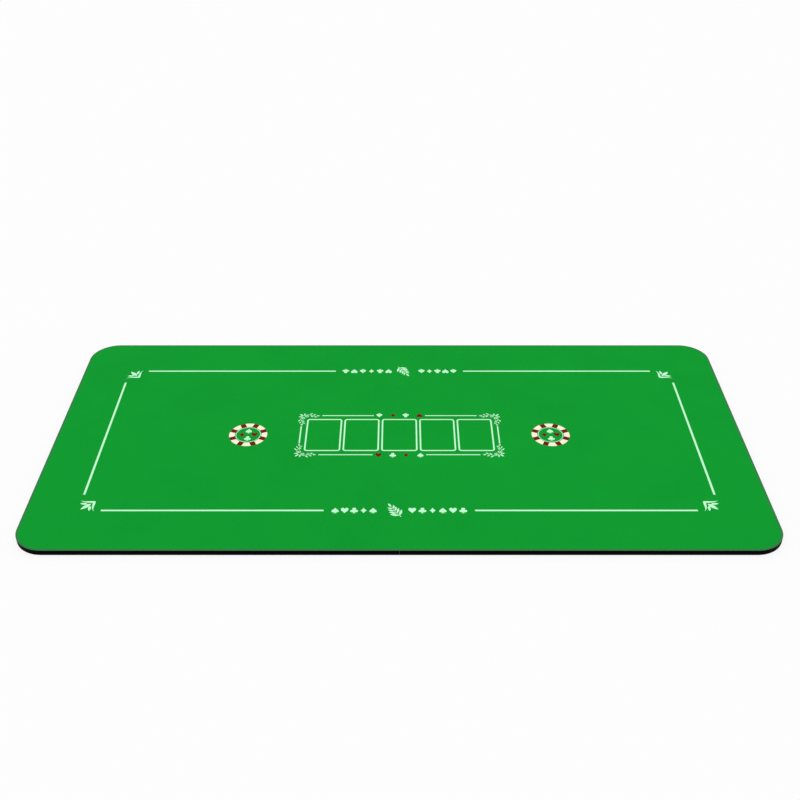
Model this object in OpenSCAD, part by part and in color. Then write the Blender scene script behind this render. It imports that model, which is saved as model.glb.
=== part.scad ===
// Folding poker table top.
// Two square halves lie side by side and fold in half about the centre line, cloth inside.
// Origin: centre of the underside, on the fold line. +X runs along the length, +Y across it
// and +Z up. The right half (+X) swings up and over, and comes to rest on the left half.

/* [Table top] */
// Length of the open table top, along X
top_length = 1800; // [1700:10:2400]
// Width of the table top, along Y
top_width = 900; // [800:10:1200]
// Radius of the four outer corners, seen from above
corner_radius = 75; // [40:1:120]

/* [Layers] */
// Thickness of the rubber base mat
base_thickness = 2; // [1:0.1:3]
// Thickness of the core board
board_thickness = 9; // [8:0.5:15]
// Thickness of the foam pad
foam_thickness = 3.5; // [1:0.1:6]
// Thickness of the playing cloth
cloth_thickness = 0.5; // [0.3:0.1:1]
// Thickness of the printed ink that stands on the cloth
ink_thickness = 0.15; // [0.1:0.01:0.2]
// Distance from the outer edge in to the edge of the base mat
base_inset = 2.5; // [2.5:0.1:20]

/* [Edge trim] */
// Thickness of the trim outside the board
trim_thickness = 2; // [1.5:0.1:2.5]
// Height of the trim's lower lip above the ground
trim_lift = 0.5; // [0.3:0.1:1]
// Radius of the trim's two outer lips
trim_lip_radius = 0.8; // [0.3:0.1:1]
// Depth of the trim's tongue in the board
tongue_depth = 7; // [5:0.5:12]
// Thickness of the tongue
tongue_thickness = 1.2; // [0.8:0.1:1.6]
// Height of each barb above the face of the tongue
barb_height = 0.6; // [0.2:0.1:0.8]
// Number of barbs along each face of the tongue
barb_count = 3; // [1:1:4]
// Clearance round the tongue in its groove
groove_clearance = 0.1; // [0.05:0.05:0.3]

/* [Fold] */
// Gap between the two halves when the top is open
fold_gap = 0.3; // [0.2:0.1:1]
// Thickness of the band that covers each board's fold edge
band_thickness = 1; // [0.5:0.1:2]
// Width of the hinge tape on each half
tape_width = 25; // [15:1:50]
// Thickness of the hinge tape
tape_thickness = 0.3; // [0.2:0.1:0.5]

/* [Border print] */
// Distance from a short edge to the middle of the border line
border_inset_x = 129; // [100:1:160]
// Distance from a long edge to the middle of the border line
border_inset_y = 142; // [110:1:160]
// Width of the border lines
border_line = 5.4; // [3:0.2:8]
// Length of border left out at each corner, along X
corner_gap_x = 54; // [48:1:80]
// Length of border left out at each corner, along Y
corner_gap_y = 60; // [48:1:80]
// Distance from the centre line to the start of a long border line
title_gap = 182; // [180:1:220]
// Height of the suit signs in the title row
title_pip_height = 20; // [12:0.5:20]
// Length of the leaf sprig in the title row
sprig_length = 54; // [40:1:56]

/* [Card layout] */
// Outer width of a card box
card_width = 94; // [80:1:96]
// Outer height of a card box
card_height = 142; // [120:1:144]
// Distance between the middles of two card boxes
card_pitch = 100; // [98:1:100]
// Width of the card box lines
card_line = 4; // [2:0.2:6]
// Outer corner radius of a card box
card_corner = 8; // [7:0.5:12]
// Distance from the centre of the top to the frame lines along X
frame_y = 87; // [86:1:100]
// Distance from the centre of the top to the frame lines along Y
frame_x = 261; // [256:1:280]
// Width of the frame lines
frame_line = 3.4; // [2:0.2:5]
// Height of the four suit signs in the frame
pip_height = 18; // [10:0.5:18]

/* [Medallions] */
// Distance from the centre of the top to a medallion's middle
medallion_x = 398; // [350:1:450]
// Outer diameter of a medallion
medallion_diameter = 100; // [80:1:120]
// Number of edge spots on a medallion
spot_count = 8; // [6:2:10]

/* [Hidden] */

// The left half is the right half turned half a turn about Z.
RIGHT = 0;
LEFT = 180;

// Facets on a full circle, and steps along each free curve
$fn = 96;
curve_steps = 10;

// Small length by which a cutter passes the face that it cuts
past = 1;

// Heights of the layers, from the ground up
board_z = base_thickness;
foam_z = board_z + board_thickness;
cloth_z = foam_z + foam_thickness;
ink_z = cloth_z + cloth_thickness;

// The hinge axis lies in the plane X = 0, 0.35 above the cloth. When the top is folded, the two
// printed faces lie 0.4 apart there.
half_length = top_length / 2;
half_width = top_width / 2;
fold_x = fold_gap / 2;
tongue_z = board_z + board_thickness / 2;
groove_height = tongue_thickness + 2 * barb_height + 2 * groove_clearance;
border_x = half_length - border_inset_x;
border_y = half_width - border_inset_y;

// The four suit signs in the frame, and how far a corner scroll reaches along a frame line
pip_x = [17, 54];
pip_y = frame_y + 1.5;
scroll_reach = 49;

// Colours of the materials
board_color = [0.66, 0.50, 0.33];
foam_color = [0.80, 0.79, 0.72];
cloth_color = [0.07, 0.60, 0.20];
black_color = [0.05, 0.05, 0.06];
tape_color = [0.86, 0.85, 0.80];
white_ink = [0.93, 1.00, 0.94];
cream_ink = [1.00, 0.97, 0.86];
red_ink = [0.62, 0.09, 0.11];

// ---- Curves ----

// Point at t, from 0 to 1, on a cubic curve with four control points
function cubic(c, t) =
    pow(1 - t, 3) * c[0] + 3 * t * pow(1 - t, 2) * c[1] + 3 * t * t * (1 - t) * c[2]
    + pow(t, 3) * c[3];

// Points along a chain of cubic curves, without the chain's last point
function chain(curves) =
    [for (c = curves, i = [0:curve_steps - 1]) cubic(c, i / curve_steps)];

// The same points mirrored in X, in reverse order and without the first point
function mirrored(points) =
    [for (i = [len(points) - 1:-1:1]) [-points[i][0], points[i][1]]];

// Unit vector along the path at point i
function along(path, i) =
    let (d = path[min(i + 1, len(path) - 1)] - path[max(i - 1, 0)]) d / norm(d);

// Closed outline of a ribbon that follows a path and narrows from one width to another
function ribbon(path, w0, w1) =
    let (last = len(path) - 1)
    let (side = [for (i = [0:last])
        let (d = along(path, i)) (w0 + (w1 - w0) * i / last) / 2 * [-d[1], d[0]]])
    concat([for (i = [0:last]) path[i] + side[i]], [for (i = [last:-1:0]) path[i] - side[i]]);

// Path of a volute that starts at an angle on radius r0 and winds in clockwise to radius r1
function volute(centre, start, r0, r1, turns) =
    let (n = round(turns * 24))
    [for (i = [0:n]) let (a = start - 360 * turns * i / n, r = r0 + (r1 - r0) * i / n)
        centre + r * [cos(a), sin(a)]];

// ---- Suit signs, one unit tall, each from the right side of its outline ----

foot = [[0.05, -0.22], [0.06, -0.37], [0.12, -0.46], [0.23, -0.50]];

spade_side = concat(
    chain([
        [[0, 0.50], [0.08, 0.27], [0.44, 0.10], [0.44, -0.14]],
        [[0.44, -0.14], [0.44, -0.37], [0.16, -0.41], [0.05, -0.22]],
        foot,
    ]),
    [[0.23, -0.50]]
);

heart_side = chain([
    [[0, -0.50], [0.09, -0.27], [0.46, -0.08], [0.46, 0.20]],
    [[0.46, 0.20], [0.46, 0.56], [0.08, 0.58], [0, 0.26]],
]);

diamond_side = chain([
    [[0, 0.50], [0.08, 0.30], [0.24, 0.10], [0.38, 0]],
    [[0.38, 0], [0.24, -0.10], [0.08, -0.30], [0, -0.50]],
]);

club_side = concat(
    chain([
        [[0, 0.50], [0.29, 0.50], [0.29, 0.14], [0.11, 0.06]],
        [[0.11, 0.06], [0.28, 0.16], [0.47, 0.08], [0.47, -0.10]],
        [[0.47, -0.10], [0.47, -0.36], [0.14, -0.38], [0.05, -0.22]],
        foot,
    ]),
    [[0.23, -0.50]]
);

// A heart's outline ends on the axis, so its last point is the notch.
heart_outline = concat(heart_side, [[0, 0.26]], mirrored(heart_side));
diamond_outline = concat(diamond_side, [[0, -0.50]], mirrored(diamond_side));
spade_outline = concat(spade_side, mirrored(spade_side));
club_outline = concat(club_side, mirrored(club_side));
SUITS = [spade_outline, heart_outline, club_outline, diamond_outline];
SPADE = 0;
HEART = 1;
CLUB = 2;
DIAMOND = 3;

module suit_sign(suit, height, place, turn = 0)
    translate(place) rotate(turn) polygon(SUITS[suit] * height);

// A leaf from its stalk at the origin to its tip on the X axis
module leaf(length, width) {
    side = chain([
        [[0, 0], [0.20, 0.42 * width / length], [0.55, 0.62 * width / length], [1, 0]] * length,
    ]);
    polygon(concat(side, [[length, 0]], [for (i = [len(side) - 1:-1:1]) [side[i][0], -side[i][1]]]));
}

// ---- Plans of the right half ----

// Plan of the half, drawn in from the outer edge and from the fold
module half_plan(edge_inset, fold_inset) {
    radius = corner_radius - edge_inset;
    start = fold_x + fold_inset;
    x = half_length - edge_inset;
    y = half_width - edge_inset;
    translate([start, -y]) square([x - radius - start, 2 * y]);
    translate([start, radius - y]) square([x - start, 2 * (y - radius)]);
    for (s = [-1, 1]) translate([x - radius, s * (y - radius)]) circle(radius);
}

module rounded_box(width, height, radius) {
    square([width - 2 * radius, height], center = true);
    square([width, height - 2 * radius], center = true);
    for (sx = [-1, 1], sy = [-1, 1])
        translate([sx * (width / 2 - radius), sy * (height / 2 - radius)]) circle(radius, $fn = 48);
}

// ---- Solids shared by the two halves ----

module layer(z, thickness) translate([0, 0, z]) linear_extrude(thickness) children();

module core_board(side) color(board_color) rotate(side) difference() {
    layer(board_z, board_thickness) half_plan(trim_thickness, band_thickness);
    layer(tongue_z - groove_height / 2, groove_height) difference() {
        half_plan(-past, -past);
        half_plan(trim_thickness + tongue_depth + groove_clearance, -2 * past);
    }
}

module foam_pad(side) color(foam_color) rotate(side) difference() {
    layer(foam_z, foam_thickness) half_plan(trim_thickness, 0);
    translate([-past, -top_width, cloth_z - tape_thickness])
        cube([past + fold_x + tape_width, 2 * top_width, tape_thickness + past]);
}

module playing_cloth(side) color(cloth_color) rotate(side)
    layer(cloth_z, cloth_thickness) half_plan(0, 0);

module hinge_tape(side) color(tape_color) rotate(side)
    translate([fold_x, trim_thickness - half_width, cloth_z - tape_thickness])
        cube([tape_width, top_width - 2 * trim_thickness, tape_thickness]);

module fold_edge_band(side) color(black_color) rotate(side)
    translate([fold_x, trim_thickness - half_width, board_z])
        cube([band_thickness, top_width - 2 * trim_thickness, board_thickness]);

module base_mat(side) color(black_color) rotate(side)
    layer(0, base_thickness) half_plan(base_inset, base_inset - trim_thickness);

// Section of the trim: X is the distance outward from the board's edge, Y the height.
module trim_section() {
    top = cloth_z - trim_lip_radius;
    bottom = trim_lift + trim_lip_radius;
    outside = trim_thickness - trim_lip_radius;
    arc = [for (i = [0:4]) 90 * i / 4];
    half_tongue = tongue_thickness / 2;
    pitch = (tongue_depth - half_tongue) / barb_count;
    barbs = [for (i = [0:barb_count - 1], p = [[-i * pitch, half_tongue],
        [-i * pitch - pitch * 0.3, half_tongue + barb_height]]) p];
    upper = concat(barbs, [[half_tongue - tongue_depth, half_tongue], [-tongue_depth, 0]]);
    lower = [for (i = [len(upper) - 2:-1:0]) [upper[i][0], -upper[i][1]]];
    polygon(concat(
        [for (a = arc) [outside + trim_lip_radius * sin(a), bottom - trim_lip_radius * cos(a)]],
        [for (a = arc) [outside + trim_lip_radius * cos(a), top + trim_lip_radius * sin(a)]],
        [[0, cloth_z]],
        [for (p = concat(upper, lower)) [p[0], tongue_z + p[1]]],
        [[0, trim_lift]]
    ));
}

// The trim runs along three sides of the half and turns its two outer corners.
module trim_run() {
    radius = corner_radius - trim_thickness;
    straight_x = half_length - corner_radius - fold_x;
    straight_y = top_width - 2 * corner_radius;
    for (s = [0, 1]) mirror([0, s, 0]) {
        translate([fold_x, half_width - trim_thickness, 0])
            rotate([90, 0, 90]) linear_extrude(straight_x) trim_section();
        translate([half_length - corner_radius, half_width - corner_radius, 0])
            rotate_extrude(angle = 90) translate([radius, 0]) trim_section();
    }
    translate([half_length - trim_thickness, straight_y / 2, 0])
        rotate([90, 0, 0]) linear_extrude(straight_y) trim_section();
}

// Next to the fold its tongue is cut away, to let the fold edge band reach the trim.
module edge_trim(side) color(black_color) rotate(side) difference() {
    trim_run();
    translate([fold_x - past, trim_thickness - half_width, 0])
        cube([past + band_thickness + groove_clearance, top_width - 2 * trim_thickness, cloth_z]);
}

// ---- Printed ink on the right half ----

module ink(side, ink_color) color(ink_color) rotate(side) layer(ink_z, ink_thickness) children();

// Keeps what lies on the right half of the fold
module cut_at_fold() intersection() {
    children();
    translate([fold_x, -half_width]) square([half_length, top_width]);
}

module border_lines(side) ink(side, white_ink) {
    long_line = border_x - corner_gap_x - title_gap;
    for (s = [-1, 1])
        translate([title_gap + long_line / 2, s * border_y])
            square([long_line, border_line], center = true);
    translate([border_x, 0])
        square([border_line, 2 * (border_y - corner_gap_y)], center = true);
}

// A bracket that cuts in across the corner, and three leaves that fill it.
// It is drawn near the corner at the origin, for a table that lies toward +X and +Y.
module fleuron() {
    flip = function(points) [for (i = [len(points) - 1:-1:0]) [points[i][1], points[i][0]]];
    outer = chain([[[-4, 39], [5, 30], [23, 37], [34, 34]]]);
    inner = chain([[[28.5, 28.5], [21, 29.5], [7, 27], [-4, 39]]]);
    outer_half = concat(outer, [[34, 34]]);
    inner_half = concat([[28.5, 28.5]], [for (i = [1:len(inner) - 1]) inner[i]]);
    polygon(concat(outer, flip(outer_half), flip(inner), inner_half));
    translate([25, 25]) rotate(225) leaf(30, 13);
    for (turn = [-1, 1]) translate([23, 23]) rotate(225 + 52 * turn) translate([6, 0]) leaf(19, 8.5);
}

module corner_fleurons(side) ink(side, white_ink) {
    translate([border_x, border_y]) rotate(180) fleuron();
    translate([border_x, -border_y]) rotate(90) fleuron();
}

// Two rows of suit signs: six on the near side and five on the far side, upside down
module title_signs(side) ink(side, white_ink) {
    near_pitch = 24.5;
    far_pitch = 22.8;
    for (i = [0:5]) suit_sign((i + 1) % 4, title_pip_height, [31 + i * near_pitch, -border_y]);
    for (i = [0:4]) suit_sign((4 - i) % 4, title_pip_height, [63 + i * far_pitch, border_y], 180);
}

// A leaning sprig: a stem along X with four pairs of leaves and one at its tip
module sprig() {
    pairs = 4;
    bow = 1.6;
    stem = [for (i = [0:12]) [sprig_length * 0.78 * i / 12, bow * sin(180 * i / 12)]];
    polygon(ribbon(stem, 1.8, 1));
    translate([sprig_length * 0.81, 0]) leaf(sprig_length * 0.27, 7);
    for (i = [0:pairs - 1], s = [-1, 1])
        translate([sprig_length * (0.13 + 0.175 * i), bow * sin(40 * (i + 1)) + 1.7 * s])
            rotate((46 - 4 * i) * s) leaf(21 - 2.6 * i, 8 - 0.6 * i);
}

// The far sprig stands mostly on the right half, the near one only with its foot.
module title_sprigs(side) ink(side, white_ink) cut_at_fold()
    for (turn = [0, 180]) rotate(turn)
        translate([4.4, -border_y - 23]) rotate(123) sprig();

module card_box() difference() {
    rounded_box(card_width, card_height, card_corner);
    rounded_box(card_width - 2 * card_line, card_height - 2 * card_line, card_corner - card_line);
}

module card_boxes(side) ink(side, white_ink)
    for (i = [1, 2]) translate([i * card_pitch, 0]) card_box();

module center_card_box(side) ink(side, white_ink) cut_at_fold() card_box();

module card_frame(side) ink(side, white_ink) {
    start = pip_x[1] + 15;
    stop = frame_x - scroll_reach - 4;
    for (s = [-1, 1])
        translate([(start + stop) / 2, s * frame_y])
            square([stop - start, frame_line], center = true);
    translate([frame_x, 0]) square([frame_line, 2 * (frame_y - scroll_reach)], center = true);
}

// One arm of a corner scroll: a waved stem that ends in a volute, with leaves along it.
// The frame's corner is at the origin and its line runs along +X.
module scroll_arm() {
    stem = chain([
        [[47, 0], [41, 4], [34, 4], [27, 0.5]],
        [[27, 0.5], [21, -3], [14, -5.5], [9.5, -1.5]],
    ]);
    polygon(ribbon(concat(stem, volute([12.7, 2.6], 232, 5.2, 1.3, 1.25)), 1.2, 2));
    for (i = [0:2]) translate([19 + 9.5 * i, 3 * i - 5])
        rotate(4 * i - 32) leaf(10.5 - 1.4 * i, 4.4 - 0.5 * i);
    for (i = [0:1]) translate([22 + 9.5 * i, 0.9 + 3.2 * i])
        rotate(38 - 4 * i) leaf(9.5 - 1.4 * i, 4 - 0.5 * i);
}

// Two arms that meet at the corner, and three leaves that point away from the card boxes
module frame_scroll() {
    for (flip = [0, 1]) mirror([flip, -flip]) scroll_arm();
    for (turn = [-1, 0, 1]) translate([5.5, 5.5]) rotate(225 + 46 * turn)
        translate([4 + abs(turn), 0]) leaf(14 - 3 * abs(turn), 6 - abs(turn));
}

module frame_scrolls(side) ink(side, white_ink) {
    translate([frame_x, frame_y]) rotate(180) frame_scroll();
    translate([frame_x, -frame_y]) rotate(90) frame_scroll();
}

// Four suit signs on each half: two near, upright, and two far, upside down
module white_pips(side) ink(side, white_ink) {
    suit_sign(SPADE, pip_height, [pip_x[1], -pip_y]);
    suit_sign(CLUB, pip_height, [pip_x[0], pip_y], 180);
}

module red_pips(side) ink(side, red_ink) {
    suit_sign(DIAMOND, pip_height, [pip_x[0], -pip_y]);
    suit_sign(HEART, pip_height, [pip_x[1], pip_y], 180);
}

// ---- Medallions: a gaming chip with a plain ring, edge spots and the four suit signs ----

medallion_radius = medallion_diameter / 2;
ring_width = medallion_radius * 0.30;
spot_width = medallion_radius * 0.28;

// A medallion stands upright on either half.
module medallion(side) translate([medallion_x, 0]) rotate(-side) children();

module ring(outer, inner) difference() {
    circle(outer);
    circle(inner);
}

module spot_wedges()
    for (i = [0:spot_count - 1]) rotate(360 * (i + 0.5) / spot_count)
        translate([medallion_radius - ring_width - past, -spot_width / 2])
            square([ring_width + 2 * past, spot_width]);

module medallion_ring(side) ink(side, cream_ink) medallion(side) difference() {
    ring(medallion_radius, medallion_radius - ring_width);
    spot_wedges();
}

module medallion_spots(side) ink(side, red_ink) medallion(side) {
    intersection() {
        ring(medallion_radius, medallion_radius - ring_width);
        spot_wedges();
    }
    suit_sign(HEART, medallion_radius * 0.34, [medallion_radius * 0.33, 0]);
    suit_sign(DIAMOND, medallion_radius * 0.38, [-medallion_radius * 0.33, 0]);
}

module medallion_signs(side) ink(side, white_ink) medallion(side) {
    ring(medallion_radius - ring_width - 2, medallion_radius - ring_width - 3.6);
    suit_sign(SPADE, medallion_radius * 0.38, [0, medallion_radius * 0.33]);
    suit_sign(CLUB, medallion_radius * 0.38, [0, -medallion_radius * 0.33]);
}

core_board(LEFT);  // left_core_board
core_board(RIGHT);  // right_core_board
foam_pad(LEFT);  // left_foam_pad
foam_pad(RIGHT);  // right_foam_pad
playing_cloth(LEFT);  // left_playing_cloth
playing_cloth(RIGHT);  // right_playing_cloth
edge_trim(LEFT);  // left_edge_trim
edge_trim(RIGHT);  // right_edge_trim
fold_edge_band(LEFT);  // left_fold_edge_band
fold_edge_band(RIGHT);  // right_fold_edge_band
base_mat(LEFT);  // left_base_mat
base_mat(RIGHT);  // right_base_mat
hinge_tape(LEFT);  // left_hinge_tape
hinge_tape(RIGHT);  // right_hinge_tape
border_lines(LEFT);  // left_border_lines
border_lines(RIGHT);  // right_border_lines
corner_fleurons(LEFT);  // left_corner_fleurons
corner_fleurons(RIGHT);  // right_corner_fleurons
title_signs(LEFT);  // left_title_signs
title_signs(RIGHT);  // right_title_signs
title_sprigs(LEFT);  // left_title_sprigs
title_sprigs(RIGHT);  // right_title_sprigs
card_boxes(LEFT);  // left_card_boxes
card_boxes(RIGHT);  // right_card_boxes
center_card_box(LEFT);  // left_center_card_box
center_card_box(RIGHT);  // right_center_card_box
card_frame(LEFT);  // left_card_frame
card_frame(RIGHT);  // right_card_frame
frame_scrolls(LEFT);  // left_frame_scrolls
frame_scrolls(RIGHT);  // right_frame_scrolls
white_pips(LEFT);  // left_white_pips
white_pips(RIGHT);  // right_white_pips
red_pips(LEFT);  // left_red_pips
red_pips(RIGHT);  // right_red_pips
medallion_ring(LEFT);  // left_medallion_ring
medallion_ring(RIGHT);  // right_medallion_ring
medallion_spots(LEFT);  // left_medallion_spots
medallion_spots(RIGHT);  // right_medallion_spots
medallion_signs(LEFT);  // left_medallion_signs
medallion_signs(RIGHT);  // right_medallion_signs
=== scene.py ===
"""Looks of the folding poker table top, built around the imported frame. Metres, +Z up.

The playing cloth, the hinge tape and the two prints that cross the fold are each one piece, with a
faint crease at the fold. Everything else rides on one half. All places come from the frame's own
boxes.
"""

import math

import bmesh
import bpy
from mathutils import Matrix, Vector


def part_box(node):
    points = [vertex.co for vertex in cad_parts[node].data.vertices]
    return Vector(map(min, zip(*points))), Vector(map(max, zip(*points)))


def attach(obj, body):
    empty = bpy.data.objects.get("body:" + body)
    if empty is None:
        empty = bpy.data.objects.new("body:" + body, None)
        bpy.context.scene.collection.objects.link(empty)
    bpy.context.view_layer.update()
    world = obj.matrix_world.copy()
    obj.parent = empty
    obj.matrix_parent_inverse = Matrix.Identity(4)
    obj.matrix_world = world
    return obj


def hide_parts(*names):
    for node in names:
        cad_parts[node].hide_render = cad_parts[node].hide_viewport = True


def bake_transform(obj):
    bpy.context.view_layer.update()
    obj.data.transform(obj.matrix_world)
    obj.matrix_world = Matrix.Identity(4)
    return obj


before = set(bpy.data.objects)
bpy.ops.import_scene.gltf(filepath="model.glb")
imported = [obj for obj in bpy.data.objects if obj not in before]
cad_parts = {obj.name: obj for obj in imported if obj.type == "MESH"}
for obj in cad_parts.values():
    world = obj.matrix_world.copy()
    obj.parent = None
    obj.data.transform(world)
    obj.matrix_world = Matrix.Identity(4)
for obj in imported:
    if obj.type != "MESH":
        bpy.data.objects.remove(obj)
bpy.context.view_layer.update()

MM = 0.001
SIDES = ("left", "right")

# Two places closer than this count as the same.
SAME = 0.01 * MM

# ---------------------------------------------------------------- measures from the frame

cloth_low, cloth_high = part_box("right_playing_cloth")
board_low, board_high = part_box("right_core_board")
trim_low, trim_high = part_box("right_edge_trim")
foam_low, foam_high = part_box("right_foam_pad")
tape_low, tape_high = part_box("right_hinge_tape")
mat_low, mat_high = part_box("right_base_mat")

HALF_LENGTH = cloth_high.x
HALF_WIDTH = cloth_high.y
FOLD_X = cloth_low.x


def corner_radius(node):
    """Radius of a right node's outer corners: where its far straight edge ends."""
    _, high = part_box(node)
    edge = [v.co.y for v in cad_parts[node].data.vertices if v.co.x > high.x - SAME]
    return high.y - max(edge)


CORNER_RADIUS = corner_radius("right_playing_cloth")

# The trim's thickness outside the board, and how far in its tongue reaches
TRIM_THICKNESS = trim_high.x - board_high.x
TONGUE_TIP = HALF_LENGTH - max(
    v.co.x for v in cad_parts["right_edge_trim"].data.vertices if v.co.x < board_high.x - MM
)

# ---------------------------------------------------------------- details of the shapes

# What crosses the fold is cut and creased within this distance of the fold line, in this many steps
# each side.
BEND_REACH = 1.2 * MM
BEND_CUTS = 6
CREASE_DEPTH = 0.1 * MM

# Ends of the two halves' prints belong to one shape when they face each other this closely.
FACING = 1 * MM

# A face next to a rounded edge starts with a strip this wide, which keeps its shading flat.
FLAT_STRIP = 0.4 * MM

# The cloth's edge rolls over. The foam has soft edges, and a short slope down to the tape.
CLOTH_ROLL_WIDTH = 4 * MM
CLOTH_ROLL_DEPTH = 0.35 * MM
FOAM_EDGE = 0.5 * MM
FOAM_SKIVE = 0.2 * MM

# Edge trim: its lips, and where the lip and the tongue end beside the fold
TRIM_LIP = 0.8 * MM
TRIM_END = 0.03 * MM
TONGUE_END = 0.2 * MM

# Its tongue starts inside the lip, and each barb rises over part of its pitch along the tongue.
TONGUE_ROOT = 0.1 * MM
TONGUE_HALF = 0.6 * MM
BARBS = 3
BARB = 0.6 * MM
BARB_START = 0.1
BARB_TIP = 0.35

# Base mat: a slab with soft edges, on ribs inside a flat rim that is sunk a little into the slab
MAT_EDGE = 0.2 * MM
MAT_RIM = 10 * MM
MAT_RIM_INSET = 0.25 * MM
MAT_RIM_SLOPE = 0.4 * MM
MAT_RIM_SUNK = 0.3 * MM
RIB_DEPTH = 0.6 * MM
RIB_PITCH = 5 * MM

# From the rim to the middle of the first rib, and to the ribs' ends
RIB_START = 4 * MM
RIB_END = 3 * MM

# A rib from the ground up: half its width, how much shorter it is at each end, and the height
RIB_SECTION = (
    (0.90 * MM, 0.7 * MM, 0.0),
    (1.25 * MM, 0.3 * MM, 0.12 * MM),
    (1.50 * MM, 0.0, RIB_DEPTH + 0.05 * MM),
)

# ---------------------------------------------------------------- camera, light and floor

# The camera stands in front of the near long edge and looks down at the top.
CAMERA_PLACE = (0.0016, -2.3446, 1.7299)
CAMERA_PITCH = math.radians(34.38)
CAMERA_LENS = 49.64
SENSOR_WIDTH = 36.0

# Light comes from all round, and a little more from a wide sun behind the camera's left shoulder.
WORLD_STRENGTH = 0.9
SUN_DIRECTION = (0.25, 0.75, -1.0)
SUN_STRENGTH = 0.75
SUN_SPREAD = math.radians(30)

# The floor lies just below the mats' undersides.
FLOOR_COLOR = (0.16, 0.16, 0.16)
FLOOR_GLOW = 0.81
FLOOR_REACH = 40
FLOOR_Z = -0.05 * MM


def add_camera():
    camera = bpy.data.cameras.new("camera")
    camera.lens = CAMERA_LENS
    camera.sensor_width = SENSOR_WIDTH
    holder = bpy.data.objects.new("camera", camera)
    holder.location = CAMERA_PLACE
    holder.rotation_euler = (math.pi / 2 - CAMERA_PITCH, 0, 0)
    bpy.context.scene.collection.objects.link(holder)
    bpy.context.scene.camera = holder


def add_sun():
    """A wide sun: soft shadows, and as bright all over the floor."""
    light = bpy.data.lights.new("key", "SUN")
    light.energy = SUN_STRENGTH
    light.angle = SUN_SPREAD
    holder = bpy.data.objects.new("key", light)
    holder.rotation_euler = Vector(SUN_DIRECTION).to_track_quat("-Z", "Y").to_euler()
    bpy.context.scene.collection.objects.link(holder)


def add_world():
    world = bpy.data.worlds.new("studio")
    world.use_nodes = True
    background = world.node_tree.nodes["Background"]
    background.inputs["Color"].default_value = (1, 1, 1, 1)
    background.inputs["Strength"].default_value = WORLD_STRENGTH
    bpy.context.scene.world = world


def floor_material():
    """White, glowing a little like a light table, and clear from below."""
    material, shader = new_material("floor_white", FLOOR_COLOR, roughness=1.0, specular=0.0)
    shader.inputs["Emission Color"].default_value = (1, 1, 1, 1)
    shader.inputs["Emission Strength"].default_value = FLOOR_GLOW
    nodes, links = material.node_tree.nodes, material.node_tree.links
    clear = nodes.new("ShaderNodeBsdfTransparent")
    side = nodes.new("ShaderNodeNewGeometry")
    mix = nodes.new("ShaderNodeMixShader")
    links.new(side.outputs["Backfacing"], mix.inputs["Fac"])
    links.new(shader.outputs["BSDF"], mix.inputs[1])
    links.new(clear.outputs["BSDF"], mix.inputs[2])
    links.new(mix.outputs["Shader"], nodes["Material Output"].inputs["Surface"])
    return material


def add_floor():
    mesh = bpy.data.meshes.new("floor")
    bm = bmesh.new()
    bmesh.ops.create_grid(bm, x_segments=1, y_segments=1, size=FLOOR_REACH)
    bm.to_mesh(mesh)
    bm.free()
    floor = bpy.data.objects.new("floor", mesh)
    floor.location.z = FLOOR_Z
    bpy.context.scene.collection.objects.link(floor)
    mesh.materials.append(floor_material())


# ---------------------------------------------------------------- material helpers


def new_material(name, color, roughness, specular, sheen=0.0):
    material = bpy.data.materials.new(name)
    material.use_nodes = True
    shader = material.node_tree.nodes["Principled BSDF"]
    shader.inputs["Base Color"].default_value = (*color, 1)
    shader.inputs["Roughness"].default_value = roughness
    shader.inputs["Specular IOR Level"].default_value = specular
    shader.inputs["Sheen Weight"].default_value = sheen
    return material, shader


def grey(value):
    return (value, value, value)


def scaled(color, factor):
    return tuple(min(1.0, c * factor) for c in color)


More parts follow.
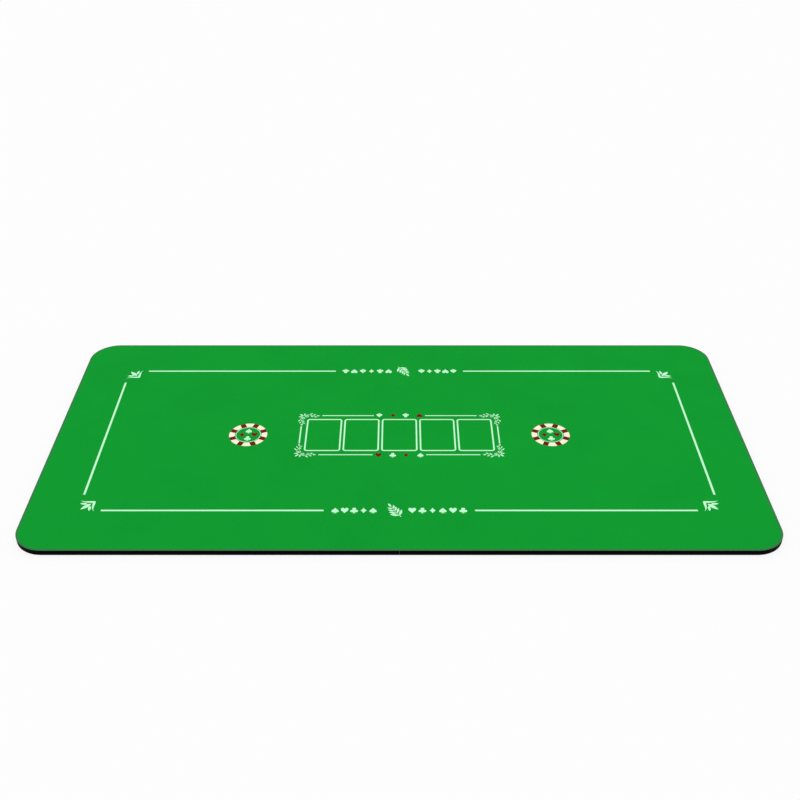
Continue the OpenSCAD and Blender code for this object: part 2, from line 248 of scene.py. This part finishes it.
class Tree:
    """Short names for the nodes that the materials share.

    A piece made here keeps its rest places, which its materials follow. A CAD node has none, but
    it doesn't change its shape either, so its own coordinates do.
    """

    def __init__(self, material, rest):
        self.nodes = material.node_tree.nodes
        self.links = material.node_tree.links
        if rest:
            place = self.nodes.new("ShaderNodeAttribute")
            place.attribute_name = "rest_position"
            self.place = place.outputs["Vector"]
        else:
            self.place = self.nodes.new("ShaderNodeTexCoord").outputs["Object"]

    def link(self, value, socket):
        if isinstance(value, bpy.types.NodeSocket):
            self.links.new(value, socket)
        else:
            socket.default_value = value

    def math(self, operation, *values):
        node = self.nodes.new("ShaderNodeMath")
        node.operation = operation
        for value, socket in zip(values, node.inputs):
            self.link(value, socket)
        return node.outputs["Value"]

    def vector_math(self, operation, first, second=(0, 0, 0)):
        node = self.nodes.new("ShaderNodeVectorMath")
        node.operation = operation
        self.link(first, node.inputs[0])
        self.link(second, node.inputs[1])
        return node.outputs["Value" if operation == "LENGTH" else "Vector"]

    def noise(self, scale, detail, roughness=0.5, stretch=(1, 1, 1)):
        mapping = self.nodes.new("ShaderNodeMapping")
        self.link(self.place, mapping.inputs["Vector"])
        mapping.inputs["Scale"].default_value = stretch
        node = self.nodes.new("ShaderNodeTexNoise")
        self.link(mapping.outputs["Vector"], node.inputs["Vector"])
        node.inputs["Scale"].default_value = scale
        node.inputs["Detail"].default_value = detail
        node.inputs["Roughness"].default_value = roughness
        return node.outputs["Fac"]

    def along(self, direction):
        """The place along X, Y or Z."""
        split = self.nodes.new("ShaderNodeSeparateXYZ")
        self.link(self.place, split.inputs["Vector"])
        return split.outputs[direction]

    def wave(self, direction, pitch):
        """A sine wave along X, Y or Z, from -1 to 1, one period per pitch."""
        return self.math("SINE", self.math("MULTIPLY", self.along(direction), 2 * math.pi / pitch))

    def ramp(self, value, *stops):
        node = self.nodes.new("ShaderNodeValToRGB")
        self.link(value, node.inputs["Fac"])
        elements = node.color_ramp.elements
        while len(elements) < len(stops):
            elements.new(0.5)
        for element, (position, color) in zip(elements, stops):
            element.position = position
            element.color = (*color, 1)
        return node.outputs["Color"]

    def rim(self, start, full):
        """From 0 to 1 towards the table's outline, between two distances in from it."""
        corner = (HALF_LENGTH - CORNER_RADIUS, HALF_WIDTH - CORNER_RADIUS, 1)
        past_corner = self.vector_math("SUBTRACT", self.vector_math("ABSOLUTE", self.place), corner)
        from_corner = self.vector_math("LENGTH", self.vector_math("MAXIMUM", past_corner))
        share = self.math("DIVIDE", from_corner, CORNER_RADIUS)
        low, high = 1 - start / CORNER_RADIUS, 1 - full / CORNER_RADIUS
        return self.ramp(share, (low, grey(0)), (high, grey(1)))

    def mix(self, factor, first, second):
        """Mixes two colours. The node's colour sockets are inputs 6 and 7, and output 2."""
        node = self.nodes.new("ShaderNodeMix")
        node.data_type = "RGBA"
        self.link(factor, node.inputs[0])
        self.link(first, node.inputs[6])
        self.link(second, node.inputs[7])
        return node.outputs[2]

    def bump(self, height, strength, distance):
        node = self.nodes.new("ShaderNodeBump")
        self.link(height, node.inputs["Height"])
        node.inputs["Strength"].default_value = strength
        node.inputs["Distance"].default_value = distance
        return node.outputs["Normal"]


# ---------------------------------------------------------------- materials

CLOTH_GREEN = (0.0032, 0.296, 0.026)
INK_WHITE = (0.52, 0.93, 0.61)
INK_CREAM = (0.90, 0.84, 0.64)
INK_RED = (0.155, 0.009, 0.008)
TAPE_COTTON = (0.62, 0.59, 0.50)
BLACK = (0.0008, 0.0008, 0.0009)
SCUFF = (0.010, 0.010, 0.011)
BOARD_BROWN = (0.36, 0.21, 0.10)
FOAM_CREAM = (0.62, 0.60, 0.50)
CLOTH_THREAD = 0.8 * MM
TAPE_THREAD = 1.1 * MM

# The cloth is painted darker and greyer along its edge: painted shade, standing in for the shading
# of its rolled edge.
CLOTH_EDGE_PAINTED_SHADE = (0.036, 0.17, 0.06)
EDGE_SHADE_START = 8 * MM
EDGE_SHADE_FULL = 2 * MM


def weave_height(tree, thread):
    """Plain weave, from 0 to 1: round threads along X and Y that pass over each other in turn."""
    warp, weft = tree.wave("X", 2 * thread), tree.wave("Y", 2 * thread)
    over = tree.math("MULTIPLY_ADD", tree.math("MULTIPLY", warp, weft), 0.5, 0.5)
    under = tree.math("SUBTRACT", 1.0, over)
    warp_height = tree.math("MULTIPLY", tree.math("ABSOLUTE", warp), over)
    weft_height = tree.math("MULTIPLY", tree.math("ABSOLUTE", weft), under)
    return tree.math("MAXIMUM", warp_height, weft_height)


def woven(name, color, thread, rest, sheen=0.0, painted_edge_shade=None):
    """Woven speed cloth, cotton tape, or ink that has soaked into the cloth's threads."""
    material, shader = new_material(name, color, roughness=0.95, specular=0.05, sheen=sheen)
    shader.inputs["Sheen Tint"].default_value = (*color, 1)
    tree = Tree(material, rest)
    height = weave_height(tree, thread)
    fibres = tree.noise(1 / thread, detail=3, roughness=0.6)
    fuzzy = tree.math("MULTIPLY_ADD", fibres, 0.5, tree.math("MULTIPLY", height, 0.5))
    patches = tree.noise(5, detail=3, roughness=0.55)
    mixed = tree.math("MULTIPLY_ADD", patches, 0.3, tree.math("MULTIPLY", fuzzy, 0.7))
    # The colour follows the weave's height: partly painted shade, darker where threads dip under,
    # and partly random fibre and patch tone.
    tinted = tree.ramp(mixed, (0.25, scaled(color, 0.80)), (0.55, scaled(color, 1.06)))
    if painted_edge_shade:
        # Painted shade: the colour turns darker and greyer towards the cloth's outline.
        rim = tree.rim(EDGE_SHADE_START, EDGE_SHADE_FULL)
        tinted = tree.mix(rim, tinted, (*painted_edge_shade, 1))
    tree.link(tinted, shader.inputs["Base Color"])
    tree.link(tree.bump(fuzzy, 0.5, 0.3 * thread), shader.inputs["Normal"])
    return material


def black_plastic(name, rest, scuffed):
    """Flexible moulding: fine grain, smoother where hands rub it, and scuffed on the trim's lips."""
    material, shader = new_material(name, BLACK, roughness=0.5, specular=0.015)
    tree = Tree(material, rest)
    polish = tree.ramp(tree.noise(14, detail=4), (0.35, grey(0.42)), (0.75, grey(0.62)))
    tree.link(polish, shader.inputs["Roughness"])
    if scuffed:
        middle = (trim_low.z + trim_high.z) / 2
        reach = trim_high.z - middle
        height = tree.math("ABSOLUTE", tree.math("SUBTRACT", tree.along("Z"), middle))
        lips = tree.ramp(tree.math("DIVIDE", height, reach), (0.86, grey(0)), (1.0, grey(1)))
        patches = tree.noise(60, detail=6, roughness=0.7)
        marks = tree.ramp(patches, (0.45, grey(0)), (0.62, grey(1)))
        wear = tree.math("MULTIPLY", lips, marks)
        tree.link(tree.ramp(wear, (0.0, BLACK), (1.0, SCUFF)), shader.inputs["Base Color"])
    grain = tree.noise(1100, detail=3, roughness=0.65)
    tree.link(tree.bump(grain, 0.6, 0.12 * MM), shader.inputs["Normal"])
    return material


def rubber(name):
    """Matte moulded rubber with a little chalky bloom."""
    material, shader = new_material(name, BLACK, roughness=0.8, specular=0.2)
    tree = Tree(material, rest=True)
    bloom = tree.ramp(tree.noise(30, detail=5), (0.35, grey(0.006)), (0.75, grey(0.014)))
    tree.link(bloom, shader.inputs["Base Color"])
    tree.link(tree.bump(tree.noise(700, detail=3), 0.3, 0.08 * MM), shader.inputs["Normal"])
    return material


def fibreboard(name):
    """Medium-density fibreboard: pale brown, with short fibres lying in its plane."""
    material, shader = new_material(name, BOARD_BROWN, roughness=0.75, specular=0.3)
    tree = Tree(material, rest=False)
    fibres = tree.noise(260, detail=5, roughness=0.7, stretch=(1, 1, 4))
    tinted = tree.ramp(fibres, (0.30, scaled(BOARD_BROWN, 0.75)), (0.72, scaled(BOARD_BROWN, 1.25)))
    tree.link(tinted, shader.inputs["Base Color"])
    tree.link(tree.bump(fibres, 0.25, 0.1 * MM), shader.inputs["Normal"])
    return material


def foam(name):
    """Cut closed-cell foam, with fine cells open at the surface."""
    material, shader = new_material(name, FOAM_CREAM, roughness=0.95, specular=0.2)
    tree = Tree(material, rest=True)
    cells = tree.nodes.new("ShaderNodeTexVoronoi")
    tree.link(tree.place, cells.inputs["Vector"])
    cells.inputs["Scale"].default_value = 2200
    cell = cells.outputs["Distance"]
    # Painted shade: the cells' hollows are coloured darker than the walls between them.
    tinted = tree.ramp(cell, (0.05, scaled(FOAM_CREAM, 0.88)), (0.5, scaled(FOAM_CREAM, 1.04)))
    tree.link(tinted, shader.inputs["Base Color"])
    tree.link(tree.bump(cell, 0.4, 0.15 * MM), shader.inputs["Normal"])
    return material


# ---------------------------------------------------------------- mesh helpers


def arc(center_x, center_y, radius, start, steps):
    """Points of a quarter circle, counterclockwise; a radius of 0 is one square corner."""
    if radius <= 0:
        return [(center_x, center_y)]
    angles = [start + math.pi / 2 * i / steps for i in range(steps + 1)]
    return [(center_x + radius * math.cos(a), center_y + radius * math.sin(a)) for a in angles]


def outline(x_low, x_high, y_half, radius_low, radius_high, inset=0.0, steps=20):
    """Closed loop, counterclockwise, round a plate with rounded or square corners at each end.

    A radius of 0 gives a square corner, whatever the inset.
    """
    x_low, x_high, y_half = x_low + inset, x_high - inset, y_half - inset
    low = max(0.0, radius_low - inset) if radius_low else 0.0
    high = max(0.0, radius_high - inset) if radius_high else 0.0
    quarter = math.pi / 2
    return (
        arc(x_high - high, y_half - high, high, 0, steps)
        + arc(x_low + low, y_half - low, low, quarter, steps)
        + arc(x_low + low, low - y_half, low, 2 * quarter, steps)
        + arc(x_high - high, high - y_half, high, 3 * quarter, steps)
    )


def add_rings(bm, loops):
    """One ring of vertices for each loop, which is (points, z)."""
    return [[bm.verts.new((x, y, z)) for x, y in points] for points, z in loops]


def add_walls(bm, rings, successors):
    """Faces from each ring to its successor. All the rings have as many vertices."""
    count = len(rings[0])
    for ring, successor in zip(rings, successors):
        for i in range(count):
            j = (i + 1) % count
            bm.faces.new((ring[i], ring[j], successor[j], successor[i]))


def cut_across(bm, places):
    """Cuts the faces at each of these places along X."""
    for x in places:
        bmesh.ops.bisect_plane(
            bm, geom=bm.verts[:] + bm.edges[:] + bm.faces[:], plane_co=(x, 0, 0), plane_no=(1, 0, 0)
        )


def plate(loops, cuts=()):
    """Closed solid from a stack of loops, each (points, z) and each with as many points."""
    bm = bmesh.new()
    rings = add_rings(bm, loops)
    add_walls(bm, rings, rings[1:])
    bm.faces.new(list(reversed(rings[0])))
    bm.faces.new(rings[-1])
    cut_across(bm, cuts)
    return bm


def add_piece(name, bm, material, sharp_angle=40):
    """Links the mesh as a piece, smooth but for its sharp edges, and stores its rest places."""
    mesh = bpy.data.meshes.new(name)
    # Faces whose vertices were moved still hold their old normals, and would be turned inside out.
    bm.normal_update()
    bmesh.ops.recalc_face_normals(bm, faces=bm.faces[:])
    bm.to_mesh(mesh)
    bm.free()
    mesh.shade_smooth()
    mesh.set_sharp_from_angle(angle=math.radians(sharp_angle))
    places = mesh.attributes.new("rest_position", "FLOAT_VECTOR", "POINT")
    flat = [c for v in mesh.vertices for c in v.co]
    places.data.foreach_set("vector", flat)
    mesh.materials.append(material)
    piece = bpy.data.objects.new(name, mesh)
    bpy.context.scene.collection.objects.link(piece)
    return piece


def bend_at_fold(piece):
    """Bakes the piece's place into its mesh."""
    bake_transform(piece)


def bend_cuts():
    """Places along X at which a piece is cut so that it can bend: the bend and a strip beside it."""
    within = [BEND_REACH * i / BEND_CUTS for i in range(-BEND_CUTS, BEND_CUTS + 1)]
    outside = BEND_REACH + FLAT_STRIP
    return [-outside] + within + [outside]


def keep_creased(bm, top):
    """Presses a faint crease into whatever lies at or above the given height at the fold."""
    for v in bm.verts:
        if v.co.z > top - SAME and abs(v.co.x) < BEND_REACH:
            v.co.z -= CREASE_DEPTH * math.cos(math.pi / 2 * v.co.x / BEND_REACH) ** 2


def turned(bm, side):
    """The left half is the right half turned half a turn about Z."""
    if side == "left":
        for v in bm.verts:
            v.co.x, v.co.y = -v.co.x, -v.co.y
    return bm


def right_loops(low, high, profile):
    """Loops round a layer of the right half, from its box and the (inset, z) pairs of a profile."""
    radius = CORNER_RADIUS - (HALF_LENGTH - high.x)
    return [(outline(low.x, high.x, high.y, 0, radius, inset), z) for inset, z in profile]


def rounded_edge(top, width, depth, steps):
    """(inset, z) pairs from the side of a plate over its rounded upper edge onto its top."""
    quarter = [math.pi / 2 * i / steps for i in range(steps + 1)]
    edge = [(width * (1 - math.cos(a)), top - depth * (1 - math.sin(a))) for a in quarter]
    return edge + [(width + FLAT_STRIP, top)]


def rounded_profile(bottom, top, radius, steps=4):
    """(inset, z) pairs up the side of a plate whose lower and upper edges are rounded."""
    upper = rounded_edge(top, radius, radius, steps)
    lower = [(inset, bottom + top - z) for inset, z in reversed(upper)]
    sides = [(0, bottom + radius + FLAT_STRIP), (0, top - radius - FLAT_STRIP)]
    return lower + sides + upper


# ---------------------------------------------------------------- cloth, tape and foam


def add_playing_cloth(material):
    """One cloth over both halves. Its edge is trimmed flush and rolls over slightly."""
    bottom, top = cloth_low.z, cloth_high.z
    profile = [(0, bottom)] + rounded_edge(top, CLOTH_ROLL_WIDTH, CLOTH_ROLL_DEPTH, steps=6)
    loops = [
        (outline(-HALF_LENGTH, HALF_LENGTH, HALF_WIDTH, CORNER_RADIUS, CORNER_RADIUS, inset), z)
        for inset, z in profile
    ]
    bm = plate(loops, bend_cuts())
    keep_creased(bm, top)
    cloth = add_piece("playing_cloth", bm, material)
    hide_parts("left_playing_cloth", "right_playing_cloth")
    bend_at_fold(cloth)


def add_hinge_tape(material):
    """One woven tape under the cloth, bonded to both halves."""
    x, y = tape_high.x, tape_high.y
    loops = [(outline(-x, x, y, 0, 0), z) for z in (tape_low.z, tape_high.z)]
    tape = add_piece("hinge_tape", plate(loops, bend_cuts()), material)
    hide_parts("left_hinge_tape", "right_hinge_tape")
    bend_at_fold(tape)


def add_foam_pad(side, material):
    """Foam sheet with soft cut edges, skived along the fold where the tape lies in it."""
    step = tape_high.z - tape_low.z
    loops = right_loops(foam_low, foam_high, rounded_profile(foam_low.z, foam_high.z, FOAM_EDGE))
    bm = plate(loops, cuts=(tape_high.x, tape_high.x + FOAM_SKIVE))
    for v in bm.verts:
        if v.co.x < tape_high.x + SAME and v.co.z > foam_high.z - FOAM_EDGE - SAME:
            v.co.z -= step
    pad = add_piece(f"{side}_foam", turned(bm, side), material)
    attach(pad, f"{side}_half")
    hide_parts(f"{side}_foam_pad")


# ---------------------------------------------------------------- edge trim and base mats


def sweep(section, x_start, steps=20):
    """Closed shell: a section of (inset, z) points carried round the three outer sides."""
    count = steps + 1
    loops = []
    for inset, z in section:
        loop = outline(x_start, HALF_LENGTH, HALF_WIDTH, 0, CORNER_RADIUS, inset, steps)
        far_corner, near_corner = loop[:count], loop[-count:]
        y_end = HALF_WIDTH - inset
        loops.append(([(x_start, -y_end)] + near_corner + far_corner + [(x_start, y_end)], z))
    bm = bmesh.new()
    strands = add_rings(bm, loops)
    for strand, neighbour in zip(strands, strands[1:] + strands[:1]):
        for i in range(len(strand) - 1):
            bm.faces.new((strand[i], strand[i + 1], neighbour[i + 1], neighbour[i]))
    bm.faces.new([strand[0] for strand in strands])
    bm.faces.new([strand[-1] for strand in reversed(strands)])
    return bm


def merge(*parts):
    """One mesh that holds all the given ones."""
    whole = bmesh.new()
    for part in parts:
        mesh = bpy.data.meshes.new("part")
        part.to_mesh(mesh)
        part.free()
        whole.from_mesh(mesh)
        bpy.data.meshes.remove(mesh)
    return whole


def tongue_section():
    """Barbed tongue: flat faces with saw teeth that point outward, as (inset, z)."""
    middle = (board_low.z + board_high.z) / 2
    pitch = (TONGUE_TIP - TRIM_THICKNESS) / BARBS
    upper = [(TRIM_THICKNESS - TONGUE_ROOT, TONGUE_HALF)]
    for i in range(BARBS):
        start = TRIM_THICKNESS + i * pitch
        upper.append((start + BARB_START * pitch, TONGUE_HALF))
        upper.append((start + BARB_TIP * pitch, TONGUE_HALF + BARB))
    upper.append((TONGUE_TIP - TONGUE_HALF, TONGUE_HALF))
    points = upper + [(TONGUE_TIP, 0)] + [(x, -z) for x, z in reversed(upper)]
    return [(x, middle + z) for x, z in points]


def add_edge_trim(side, material):
    """T-moulding round three sides: a lip that shows, and a barbed tongue in the board."""
    face = rounded_profile(trim_low.z, trim_high.z, TRIM_LIP, steps=6)
    lip = sweep(face + [(TRIM_THICKNESS, trim_high.z), (TRIM_THICKNESS, trim_low.z)], TRIM_END)
    tongue = sweep(tongue_section(), board_low.x + TONGUE_END)
    trim = add_piece(f"{side}_trim", turned(merge(lip, tongue), side), material)
    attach(trim, f"{side}_half")
    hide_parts(f"{side}_edge_trim")


def mat_rim():
    """Flat rim round the underside of the right mat."""
    top = RIB_DEPTH + MAT_RIM_SUNK
    section = [
        (MAT_RIM_INSET, top),
        (MAT_RIM_INSET, MAT_EDGE),
        (2 * MAT_RIM_INSET, 0),
        (MAT_RIM, 0),
        (MAT_RIM + MAT_RIM_SLOPE, top),
    ]
    bm = bmesh.new()
    rings = add_rings(bm, right_loops(mat_low, mat_high, section))
    add_walls(bm, rings, rings[1:] + rings[:1])
    return bm


def mat_rib(x, y_half):
    """Rounded rib along Y, from the ground up into the slab."""
    return plate([
        (outline(x - half_width, x + half_width, y_half - shorter, 0, 0), z)
        for half_width, shorter, z in RIB_SECTION
    ])


def mat_ribs():
    """Evenly spaced ribs across the right mat, shorter where the outer corners are round."""
    first, last = mat_low.x + MAT_RIM + RIB_START, mat_high.x - MAT_RIM - RIB_START
    gaps = int((last - first) / RIB_PITCH)
    inset = MAT_RIM + RIB_END
    radius = CORNER_RADIUS - (HALF_LENGTH - mat_high.x) - inset
    corner_x = mat_high.x - inset - radius
    half_width = max(half for half, _, _ in RIB_SECTION)
    ribs = []
    for i in range(gaps + 1):
        x = first + (last - first) * i / gaps
        past_corner = max(0.0, x + half_width - corner_x)
        drop = radius - math.sqrt(max(0.0, radius**2 - past_corner**2))
        ribs.append(mat_rib(x, mat_high.y - inset - drop))
    return ribs


def add_base_mat(side, material):
    """Rubber mat: a slab, a flat rim round it and ribs across the rest of its underside."""
    profile = rounded_profile(RIB_DEPTH, mat_high.z, MAT_EDGE, steps=2)
    slab = plate(right_loops(mat_low, mat_high, profile))
    whole = turned(merge(slab, mat_rim(), *mat_ribs()), side)
    mat = add_piece(f"{side}_mat", whole, material, sharp_angle=30)
    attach(mat, f"{side}_half")
    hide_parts(f"{side}_base_mat")


# ---------------------------------------------------------------- printed ink


def fold_ends(bm, side):
    """The end faces of a print along one side of the fold gap."""
    edge = FOLD_X if side == "right" else -FOLD_X
    return [f for f in bm.faces if all(abs(v.co.x - edge) < SAME for v in f.verts)]


def add_print_over_fold(kind, material):
    """One film of ink over the fold: the two halves' prints, bridged across the gap."""
    bm = bmesh.new()
    for side in SIDES:
        bm.from_mesh(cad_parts[f"{side}_{kind}"].data)
    bmesh.ops.remove_doubles(bm, verts=bm.verts[:], dist=0.1 * SAME)
    bmesh.ops.dissolve_limit(bm, angle_limit=0.01, verts=bm.verts[:], edges=bm.edges[:])
    left_ends = fold_ends(bm, "left")
    for right_end in fold_ends(bm, "right"):
        y = right_end.calc_center_median().y
        facing = [f for f in left_ends if abs(f.calc_center_median().y - y) < FACING]
        if facing:
            left_ends.remove(facing[0])
            bmesh.ops.bridge_loops(bm, edges=list(right_end.edges) + list(facing[0].edges))
            bmesh.ops.delete(bm, geom=[right_end, facing[0]], context="FACES_ONLY")
    cut_across(bm, bend_cuts())
    keep_creased(bm, cloth_high.z)
    ink = add_piece(f"{kind}_print", bm, material)
    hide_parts(f"left_{kind}", f"right_{kind}")
    bend_at_fold(ink)


def paint_cad_nodes(materials):
    """Gives each CAD node that stays in view the material of its kind."""
    for name, material in materials.items():
        for side in SIDES:
            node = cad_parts[f"{side}_{name}"]
            node.data.materials.clear()
            node.data.materials.append(material)


# ---------------------------------------------------------------- the scene

bpy.context.scene.view_settings.view_transform = "Standard"
add_camera()
add_world()
add_sun()
add_floor()

# The cloth's colour carries a painted shade along its outline.
cloth_green = woven(
    "cloth_green", CLOTH_GREEN, CLOTH_THREAD, rest=True, sheen=0.04, painted_edge_shade=CLOTH_EDGE_PAINTED_SHADE
)
add_playing_cloth(cloth_green)
add_hinge_tape(woven("tape_cotton", TAPE_COTTON, TAPE_THREAD, rest=True))

trim_black = black_plastic("trim_black", rest=True, scuffed=True)
mat_rubber = rubber("mat_rubber")
pad_foam = foam("pad_foam")
for side in SIDES:
    add_foam_pad(side, pad_foam)
    add_edge_trim(side, trim_black)
    add_base_mat(side, mat_rubber)

fold_white = woven("ink_white_fold", INK_WHITE, CLOTH_THREAD, rest=True)
add_print_over_fold("center_card_box", fold_white)
add_print_over_fold("title_sprigs", fold_white)

white = woven("ink_white", INK_WHITE, CLOTH_THREAD, rest=False)
cream = woven("ink_cream", INK_CREAM, CLOTH_THREAD, rest=False)
red = woven("ink_red", INK_RED, CLOTH_THREAD, rest=False)
white_prints = (
    "border_lines", "corner_fleurons", "title_signs", "card_boxes", "card_frame",
    "frame_scrolls", "white_pips", "medallion_signs",
)
paint_cad_nodes({name: white for name in white_prints})
paint_cad_nodes({"red_pips": red, "medallion_spots": red, "medallion_ring": cream})
paint_cad_nodes({
    "core_board": fibreboard("fibreboard"),
    "fold_edge_band": black_plastic("band_black", rest=False, scuffed=False),
})
